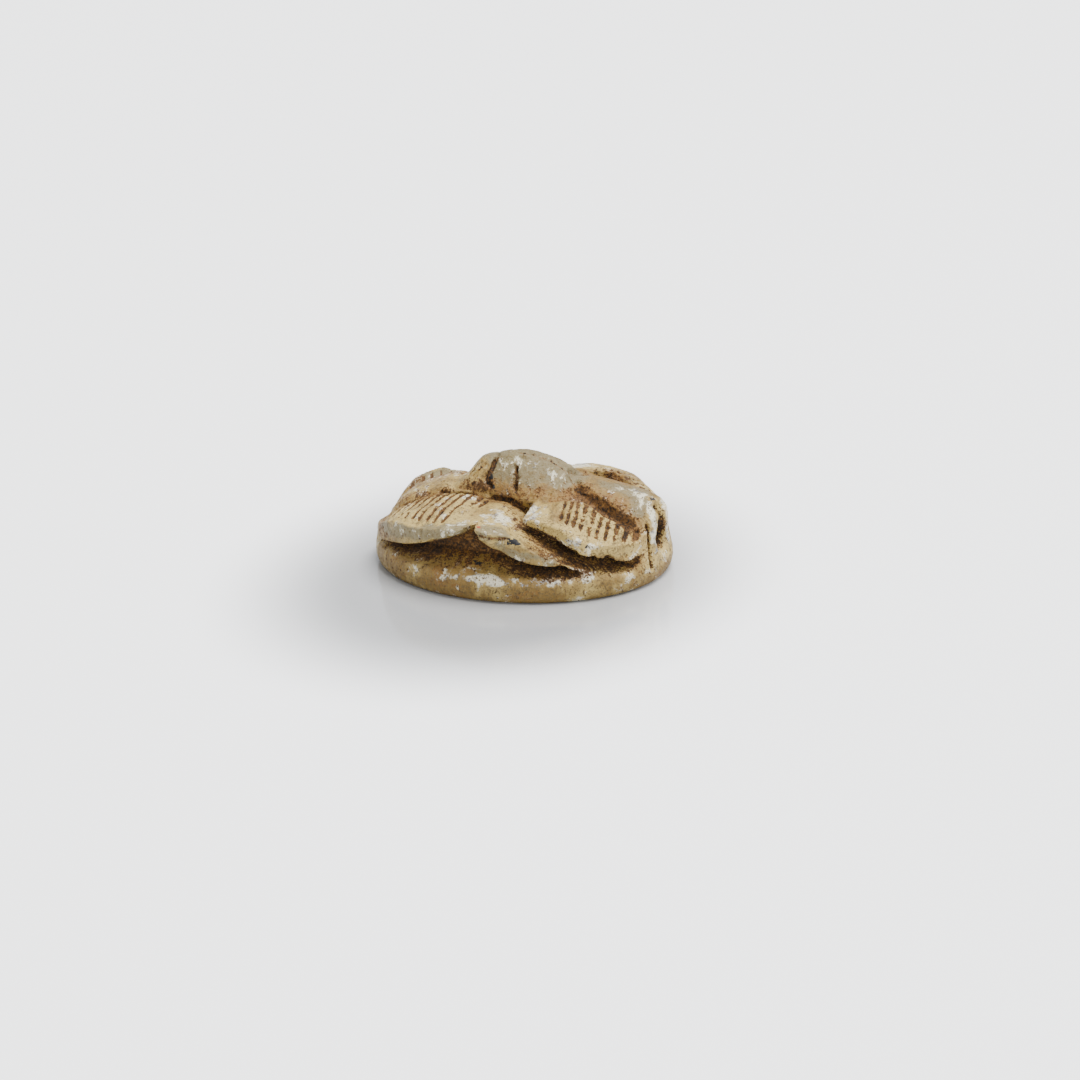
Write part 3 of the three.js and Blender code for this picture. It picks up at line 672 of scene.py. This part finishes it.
def hatching_tree():
    """A node tree that presses grooves into the surface where the hatching attributes say."""
    tree = bpy.data.node_groups.new("Hatching", "GeometryNodeTree")
    face = tree.interface
    face.new_socket("Geometry", in_out="INPUT", socket_type="NodeSocketGeometry")
    for name in ("Width", "Depth"):
        face.new_socket(name, in_out="INPUT", socket_type="NodeSocketFloat").subtype = "DISTANCE"
    face.new_socket("Wander", in_out="INPUT", socket_type="NodeSocketFloat")
    face.new_socket("Seed", in_out="INPUT", socket_type="NodeSocketInt")
    face.new_socket("Material", in_out="INPUT", socket_type="NodeSocketMaterial")
    face.new_socket("Geometry", in_out="OUTPUT", socket_type="NodeSocketGeometry")
    wiring = Wiring(tree)
    given = wiring.add("NodeGroupInput")
    width, depth, wander = (wiring.number(given, name) for name in ("Width", "Depth", "Wander"))

    def stored(name):
        node = wiring.add("GeometryNodeInputNamedAttribute", {"data_type": "FLOAT"}, {"Name": name})
        return wiring.number(node, "Attribute")

    line, pitch, amount = stored("hatch_line"), stored("hatch_pitch"), stored("hatch_amount")
    broken = stored("hatch_broken")
    nearest = line.math("ROUND")

    def chance(low, high, offset):
        node = wiring.add("FunctionNodeRandomValue", {"data_type": "FLOAT"})
        node.inputs[2].default_value = low
        node.inputs[3].default_value = high
        tree.links.new(nearest.socket, node.inputs["ID"])
        seed = wiring.number(given, "Seed") + offset
        tree.links.new(seed.socket, node.inputs["Seed"])
        return wiring.number(node, 1)

    place = wiring.add("GeometryNodeInputPosition").outputs[0]
    ragged = wiring.noise(place, 900.0, detail=2.0)
    gaps = wiring.noise(place, 2600.0, detail=1.0).step(0.42, 0.6)
    stray = chance(-1.0, 1.0, 0) * wander + (ragged - 0.5) * 0.35
    away = (line - nearest - stray).math("ABSOLUTE") * pitch
    half = width * chance(0.75, 1.2, 11) * 0.5
    groove = (1 - away / half).math("MAXIMUM", 0.0)
    rounded = groove * (2 - groove)
    cut = rounded * amount * (1 - broken * gaps) * (0.6 + ragged * 0.8)
    press = cut * depth * chance(0.75, 1.2, 23)
    normal = wiring.add("GeometryNodeInputNormal").outputs[0]
    offset = wiring.add("ShaderNodeVectorMath", {"operation": "SCALE"}, {0: normal, "Scale": press * -1})
    moved = wiring.add("GeometryNodeSetPosition", None, {
        "Geometry": given.outputs["Geometry"], "Offset": offset.outputs[0]})
    kept = wiring.add("GeometryNodeStoreNamedAttribute", {"data_type": "FLOAT", "domain": "POINT"}, {
        "Geometry": moved.outputs[0], "Name": "groove", "Value": cut})
    real = wiring.add("GeometryNodeRealizeInstances", None, {"Geometry": kept.outputs[0]})
    faced = wiring.add("GeometryNodeSetMaterial", None, {
        "Geometry": real.outputs[0], "Material": given.outputs["Material"]})
    wiring.add("NodeGroupOutput", None, {"Geometry": faced.outputs[0]})
    return tree


def hatch(piece, settings, material):
    """Presses the hatching into the stone with the settings."""
    tree = hatching_tree()
    modifier = piece.modifiers.new("hatching", "NODES")
    modifier.node_group = tree
    values = {
        "Width": settings.hatch_width, "Depth": settings.hatch_depth,
        "Wander": settings.hatch_wander, "Seed": settings.seed, "Material": material}
    for item in tree.interface.items_tree:
        if item.item_type == "SOCKET" and item.in_out == "INPUT" and item.name in values:
            modifier[item.identifier] = values[item.name]
    plain(piece)


def hand_cut(surface, settings):
    """The carver's lines, chips, unevenness and pits, and the plinth's worn rim."""
    x, y, z = surface.co.T.copy()
    oval = np.hypot(x / HALF_LENGTH, y / HALF_WIDTH)
    rim = band(PLINTH_HEIGHT - 0.2, PLINTH_HEIGHT + 0.15, 0.3, z) * smoothstep(0.86, 0.93, oval)
    surface.ease(rim, 70)
    edge = smoothstep(0.9, 0.96, oval) * band(-0.1, 0.25, 0.25, z)
    surface.ease(edge, 12)
    normals = surface.normals()
    cut = np.zeros(len(x))
    for path, width, depth in CUTS.values():
        before = surface.co.copy()
        for each in (path, mirrored(path)):
            incise(surface, normals, each, width, depth)
        cut = np.maximum(cut, np.linalg.norm(surface.co - before, axis=1) / depth * (width < 0.4))
    surface.keep("cut", cut)
    for place, radius, depth in CHIPS:
        away = np.linalg.norm(surface.co - surface.nearest(np.array(place)), axis=1)
        jagged = 1 + 0.35 * lattice_noise(surface.co, 0.2, settings.seed + 9)
        surface.co -= normals * (depth * np.clip(1 - away * jagged / radius, 0, 1) ** 0.7)[:, None]
    wear = settings.wear / MM
    sides = smoothstep(0.1, 0.5, surface.co[:, 2])
    rough = (lattice_noise(surface.co, 1.6, settings.seed)
             + 0.6 * lattice_noise(surface.co, 0.6, settings.seed + 1)
             + 0.4 * lattice_noise(surface.co, 0.25, settings.seed + 2))
    surface.co += normals * (wear * 0.5 * rough * sides)[:, None]
    pits = np.clip(lattice_noise(surface.co, 0.3, settings.seed + 3) - 0.5, 0, 1)
    surface.co -= normals * (pits * wear * 2.4 * sides)[:, None]
    surface.co[:, 2] = np.maximum(surface.co[:, 2], 0)


def shelter(piece, reach, directions, seed):
    """For each point, the share of the open directions above it that the stone blocks within reach."""
    mesh = piece.data
    tree = BVHTree.FromPolygons(
        [v.co for v in mesh.vertices], [tuple(p.vertices) for p in mesh.polygons])
    rng = np.random.default_rng(seed)
    ways = rng.normal(size=(directions, 3))
    ways /= np.linalg.norm(ways, axis=1)[:, None]
    ways = [Vector(way) for way in ways]
    blocked = np.zeros(len(mesh.vertices))
    cast = tree.ray_cast
    for i, vertex in enumerate(mesh.vertices):
        normal = vertex.normal
        start = vertex.co + normal * SHELTER_LIFT
        hits = 0
        for way in ways:
            aim = (way + normal * 1.05).normalized()
            if cast(start, aim, reach)[0] is not None:
                hits += 1
        blocked[i] = hits / directions
    return blocked


def stone_material(settings):
    """Worn stone: ochre and cream mottling, a grey film, bare patches, and earth in the cuts, with painted
    shade in the sheltered hollows and grooves, and painted light on proud edges, the leg tops and the tail's
    end.
    """
    material = bpy.data.materials.new("worn_steatite")
    material.use_nodes = True
    tree = material.node_tree
    tree.nodes.clear()
    wiring = Wiring(tree)
    place = wiring.add("ShaderNodeTexCoord").outputs["Object"]

    def stored(name):
        return wiring.number(wiring.add("ShaderNodeAttribute", {"attribute_name": name}), "Fac")

    def shade(colour, factor):
        return tuple(min(part * factor, 1.0) for part in colour)

    sheltered, groove, film, pale, bare_and_highlit, earth_and_shade, pit, rust = (
        stored(name) for name in ("shelter", "groove", "film", "pale", "bare_and_highlit", "earth_and_shade", "pit", "rust"))
    broad = (wiring.noise(place, 260.0, detail=4.0, roughness=0.6) - 0.5) * 2.4
    patch = (wiring.noise(place, 750.0, detail=5.0, roughness=0.65, distortion=0.5) - 0.5) * 2.4
    grain = (wiring.noise(place, 3000.0, detail=3.0, roughness=0.7) - 0.5) * 2.6
    fine = (wiring.noise(place, 8500.0, detail=2.0, roughness=0.8) - 0.5) * 2.6

    # Cream follows the pale mask: handled wear, and painted light on the leg tops and the tail's end.
    creamy = (pale * 0.85 + broad * 1.8 + patch * 1.6 + 0.2).clamped()
    plain_stone = wiring.mix(settings.ochre, settings.cream, creamy)
    brown = (patch * 1.5 - broad * 1.4 - pale * 0.25 - bare_and_highlit * 0.4 + grain * 0.8 - 0.12).step(0.0, 0.35)
    stained = wiring.mix(plain_stone, settings.rust_stain, brown * 0.6)
    greyed = (film * 1.25 + patch * 1.4 - 0.35).step(0.0, 0.6)
    filmed = wiring.mix(stained, settings.grey_film, greyed * 0.85)
    bare_share = (bare_and_highlit * 0.9 + patch * 2.0 + grain * 0.7 - 0.42).step(0.0, 0.4)
    cold = (patch * -2.6 + grain * 1.6 + 0.25).clamped()
    bare_tone = wiring.mix(settings.bare_and_highlit, settings.blue_grey, cold)
    bared = wiring.mix(filmed, bare_tone, bare_share * 0.92)
    freckles = (fine * 1.2 + grain * 0.5 - 0.08).step(0.0, 0.3)
    freckled = wiring.mix(bared, shade(settings.cream, 1.3), freckles * 0.65)
    specks = (grain * 0.9 + fine * 1.5 - patch * 0.4 - 0.1 - bare_and_highlit * 0.1).step(0.0, 0.25)
    speckled = wiring.mix(freckled, shade(settings.earth_and_shade, 2.6), specks * 0.7)

    # Browner, then soil-dark, then near black where other stone shelters a point and in the grooves: earth
    # that lies there, and painted shade.
    halo = (earth_and_shade * 0.95 + sheltered * 0.8 + groove * 1.4 + fine * 0.8 + grain * 0.8 + patch * 0.6
            - pale * 0.15 - 0.42).step(0.0, 0.5)
    warmed = wiring.mix(speckled, settings.rust_stain, halo * 0.75)
    soil_and_shade = (earth_and_shade * 0.75 + sheltered * 1.15 + groove * 2.4 + fine * 1.5 + grain * 1.2 + patch * 0.7
            - pale * 0.22 - film * 0.1 - 0.62).step(0.0, 0.42)
    damp = (fine * 2.4 + grain * 1.6 + 0.4).clamped()
    soil_tone = wiring.mix(settings.soil_and_shade, shade(settings.soil_and_shade, 0.5), damp)
    earthed = wiring.mix(warmed, soil_tone, soil_and_shade * 0.93)
    # The darkest mask follows the sheltered places most: painted shade deep in the hollows, with the earth in
    # them.
    deep = (earth_and_shade * 0.35 + sheltered * 1.15 + groove * 0.8 + fine * 1.3 + grain * 0.8 - 0.92).step(0.0, 0.5)
    darkened = wiring.mix(earthed, settings.earth_and_shade, deep * 0.9)
    black = (pit * 1.5 + fine * 0.9 + grain * 0.9 - 0.62).step(0.0, 0.25)
    dotted = wiring.mix(darkened, settings.pit, black)
    rusted = (rust * 1.6 + fine * 0.8 - 0.6).step(0.0, 0.3)
    colour = wiring.mix(dotted, settings.rust, rusted)

    bump = wiring.add("ShaderNodeBump", None, {
        "Strength": 0.8, "Distance": 0.05 * MM, "Height": grain * 0.9 + fine * 0.7 - pit * 0.5})
    shader = wiring.add("ShaderNodeBsdfPrincipled", None, {
        "Base Color": colour, "Roughness": 0.55 + soil_and_shade * 0.3 + grain * 0.3, "Normal": bump.outputs[0],
        "Specular IOR Level": 0.4})
    wiring.add("ShaderNodeOutputMaterial", None, {"Surface": shader.outputs[0]})
    return material


def stain(surface, kind, seed):
    """How strongly each point has one kind of stain."""
    places = surface.co
    amount = np.zeros(len(places))
    for index, (path, radius, strength, both) in enumerate(STAINS[kind]):
        for side, each in enumerate((path, mirrored(path)) if both else (path,)):
            if len(each) == 1:
                away = np.linalg.norm(places - surface.nearest(np.array(each[0])), axis=1)
            else:
                away = distance_to(places, each)
            ragged = 0.35 * radius * lattice_noise(places, 0.7 * radius, seed + 5 * index + side)
            amount = np.maximum(amount, strength * smoothstep(1.25, 0.1, (away + ragged) / radius))
    return amount


def finish_stone(piece, settings):
    """Stores on the finished stone what its colours follow."""
    surface = Surface(piece.data)
    normals = surface.normals()
    x, y, z = surface.co.T
    share = x / HALF_LENGTH
    near = ((surface.blur(surface.co, 4) - surface.co) * normals).sum(1)
    wide = ((surface.blur(surface.co, 40) - surface.co) * normals).sum(1)
    blocked = surface.blur(shelter(piece, SHELTER_REACH, 20, settings.seed), 2)
    # Concave places get darker: earth lies in them, and painted shade.
    hollow = np.clip(near / 0.02, 0, 1) * 0.25 + np.clip(wide / 0.1, 0, 1) * 0.35
    # Proud edges turn pale: worn stone, and a painted highlight along them.
    proud = np.clip(-near / 0.015, 0, 1) * 0.3 + np.clip(-wide / 0.1, 0, 1) * 0.3
    slits = surface.read("cut")
    earth_and_shade = np.maximum(stain(surface, "earth_and_shade", settings.seed), slits * 0.9) + hollow
    # The blocked share darkens the colour in the material: earth in the hollows, and painted shade.
    surface.keep("shelter", blocked)
    surface.keep("film", stain(surface, "film", settings.seed + 100))
    surface.keep("bare_and_highlit", stain(surface, "bare_and_highlit", settings.seed + 200) + proud * 0.35)
    surface.keep("earth_and_shade", earth_and_shade * (1 - 0.4 * proud))
    surface.keep("pit", np.maximum(stain(surface, "pit", settings.seed + 300), slits * 0.4))
    surface.keep("rust", stain(surface, "rust", settings.seed + 400))
    # The tops of the legs and the tail's end are paler: handled wear, and painted light where the light falls
    # on them.
    legs = np.zeros(len(x))
    for height, low, high in ((front_leg_height, -0.8, 0.13), (hind_leg_height, 0.2, 0.92)):
        on_top = 1 - smoothstep(0.5, 0.9, np.abs(z - height(x, y)))
        legs = np.maximum(legs, on_top * band(low, high, 0.05, share) * smoothstep(2.1, 2.9, np.abs(y)))
    tail = smoothstep(0.9, 0.97, share) * smoothstep(0.5, 1.5, z)
    surface.keep("pale", np.maximum(legs, 0.7 * tail))
    surface.write()


class AMULET_OT_stone(bpy.types.Operator):
    """Makes the carved stone with its hatching, wear and earth, and its painted shade and light"""

    bl_idname = "amulet.stone"
    bl_label = "Carved stone"

    def execute(self, context):
        settings = context.scene.amulet_stone
        piece = remeshed_node(settings.cell)
        surface = Surface(piece.data)
        surface.soften(6)
        settle(surface)
        fill_hatching(surface)
        surface.soften(3)
        hand_cut(surface, settings)
        surface.write()
        if not np.isfinite(surface.co).all():
            raise ValueError("the stone has points without a place")
        material = stone_material(settings)
        hatch(piece, settings, material)
        thin(piece, settings.triangles)
        finish_stone(piece, settings)
        piece.data.materials.clear()
        piece.data.materials.append(material)
        piece.data.shade_smooth()
        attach(piece, "root")
        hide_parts(NODE)
        return {"FINISHED"}


def view_axes(settings):
    """The level view's right, up and backward axes."""
    sin_yaw, cos_yaw = math.sin(settings.yaw), math.cos(settings.yaw)
    sin_rise, cos_rise = math.sin(settings.rise), math.cos(settings.rise)
    right = Vector((cos_yaw, sin_yaw, 0))
    back = Vector((sin_yaw * cos_rise, -cos_yaw * cos_rise, sin_rise))
    return right, back.cross(right), back


def add_camera(settings):
    """Looks at the amulet as the photograph does: its width, its scale and the origin's place in pixels."""
    picture = 1080
    pixels_per_mm = 16.95
    origin_right, origin_down = 524.4, 560.3
    origin_in_picture = Vector((origin_right - picture / 2, picture / 2 - origin_down)) / pixels_per_mm * MM
    right, above, back = view_axes(settings)
    sin_roll, cos_roll = math.sin(settings.roll), math.cos(settings.roll)
    across = origin_in_picture.x * cos_roll + origin_in_picture.y * sin_roll
    upward = origin_in_picture.y * cos_roll - origin_in_picture.x * sin_roll
    place = back * settings.distance - right * across - above * upward
    data = bpy.data.cameras.new("camera")
    data.sensor_width = 36
    data.lens = data.sensor_width * pixels_per_mm * settings.distance / MM / picture
    data.clip_start = 0.01
    camera = bpy.data.objects.new("camera", data)
    turned = Matrix((right * cos_roll - above * sin_roll, right * sin_roll + above * cos_roll, back))
    camera.matrix_world = Matrix.Translation(place) @ turned.transposed().to_4x4()
    bpy.context.scene.collection.objects.link(camera)
    bpy.context.scene.camera = camera


def add_light(name, place, size, power):
    """A round soft light that points at the amulet."""
    data = bpy.data.lights.new(name, "AREA")
    data.shape = "DISK"
    data.size = size
    data.energy = power
    lamp = bpy.data.objects.new(name, data)
    lamp.location = place
    lamp.rotation_euler = (-Vector(place)).to_track_quat("-Z", "Y").to_euler()
    bpy.context.scene.collection.objects.link(lamp)


def floor_material(colour):
    """Glossy white, with an emitted glow that fades out near the amulet: painted light on the floor, and a
    painted contact shadow and reflection around the amulet.
    """
    material = bpy.data.materials.new("pale_floor")
    material.use_nodes = True
    material.node_tree.nodes.clear()
    wiring = Wiring(material.node_tree)
    place = wiring.add("ShaderNodeTexCoord").outputs["Object"]
    # The faded oval is shifted and stretched to the front, where the painted reflection of the plinth lies.
    centre, per_metre = (-0.0008, -0.003, 0), (95, 84, 0)
    centred = wiring.add("ShaderNodeVectorMath", {"operation": "SUBTRACT"}, {0: place, 1: centre})
    scaled = wiring.add("ShaderNodeVectorMath", {"operation": "MULTIPLY"}, {
        0: centred.outputs[0], 1: per_metre})
    length = wiring.add("ShaderNodeVectorMath", {"operation": "LENGTH"}, {0: scaled.outputs[0]})
    away = wiring.number(length, "Value")
    # The glow is painted light, and where it fades near the amulet it gives a painted shadow.
    glow = wiring.mix((0, 0, 0), (0.985, 0.99, 1), away.step(0.75, 1.7))
    shader = wiring.add("ShaderNodeBsdfPrincipled", None, {
        "Base Color": (*colour, 1), "Roughness": 0.13, "Specular IOR Level": 1.0,
        "Emission Color": glow, "Emission Strength": 2.3})
    wiring.add("ShaderNodeOutputMaterial", None, {"Surface": shader.outputs[0]})
    return material


def add_floor(colour):
    """A wide level sheet under the amulet."""
    reach = 3.0
    mesh = bpy.data.meshes.new("floor")
    corners = [(-reach, -reach, 0), (reach, -reach, 0), (reach, reach, 0), (-reach, reach, 0)]
    mesh.from_pydata(corners, [], [(0, 1, 2, 3)])
    mesh.materials.append(floor_material(colour))
    floor = bpy.data.objects.new("floor", mesh)
    bpy.context.scene.collection.objects.link(floor)


class AMULET_OT_stage(bpy.types.Operator):
    """Makes the pale floor, the soft light and the camera"""

    bl_idname = "amulet.stage"
    bl_label = "Studio"

    def execute(self, context):
        settings = context.scene.amulet_stage
        add_floor(settings.floor_colour)
        add_light("overhead", (0.1, 0.04, 0.42), size=0.26, power=4.6)
        add_light("front fill", (0.35, -0.4, 0.2), size=0.3, power=1.2)
        world = bpy.data.worlds.new("studio")
        world.use_nodes = True
        sky = world.node_tree.nodes["Background"]
        sky.inputs["Color"].default_value = (0.95, 0.97, 1.0, 1)
        sky.inputs["Strength"].default_value = 1.0
        context.scene.world = world
        add_camera(settings)
        return {"FINISHED"}


class AMULET_PT_panel(bpy.types.Panel):
    """Lists what the amulet is made of"""

    bl_idname = "AMULET_PT_panel"
    bl_label = "Carved scarab amulet"
    bl_space_type = "VIEW_3D"
    bl_region_type = "UI"
    bl_category = "Amulet"

    def draw(self, context):
        for operator, group in (("amulet.stone", "amulet_stone"), ("amulet.stage", "amulet_stage")):
            self.layout.operator(operator)
            settings = getattr(context.scene, group)
            for name in settings.__annotations__:
                self.layout.prop(settings, name)


CLASSES = (StoneSettings, StageSettings, AMULET_OT_stone, AMULET_OT_stage, AMULET_PT_panel)


def register():
    for each in CLASSES:
        bpy.utils.register_class(each)
    bpy.types.Scene.amulet_stone = PointerProperty(type=StoneSettings)
    bpy.types.Scene.amulet_stage = PointerProperty(type=StageSettings)


def unregister():
    del bpy.types.Scene.amulet_stage
    del bpy.types.Scene.amulet_stone
    for each in reversed(CLASSES):
        bpy.utils.unregister_class(each)


def main():
    """Makes the studio and the stone."""
    register()
    bpy.ops.amulet.stage()
    bpy.ops.amulet.stone()


if __name__ == "__main__":
    main()
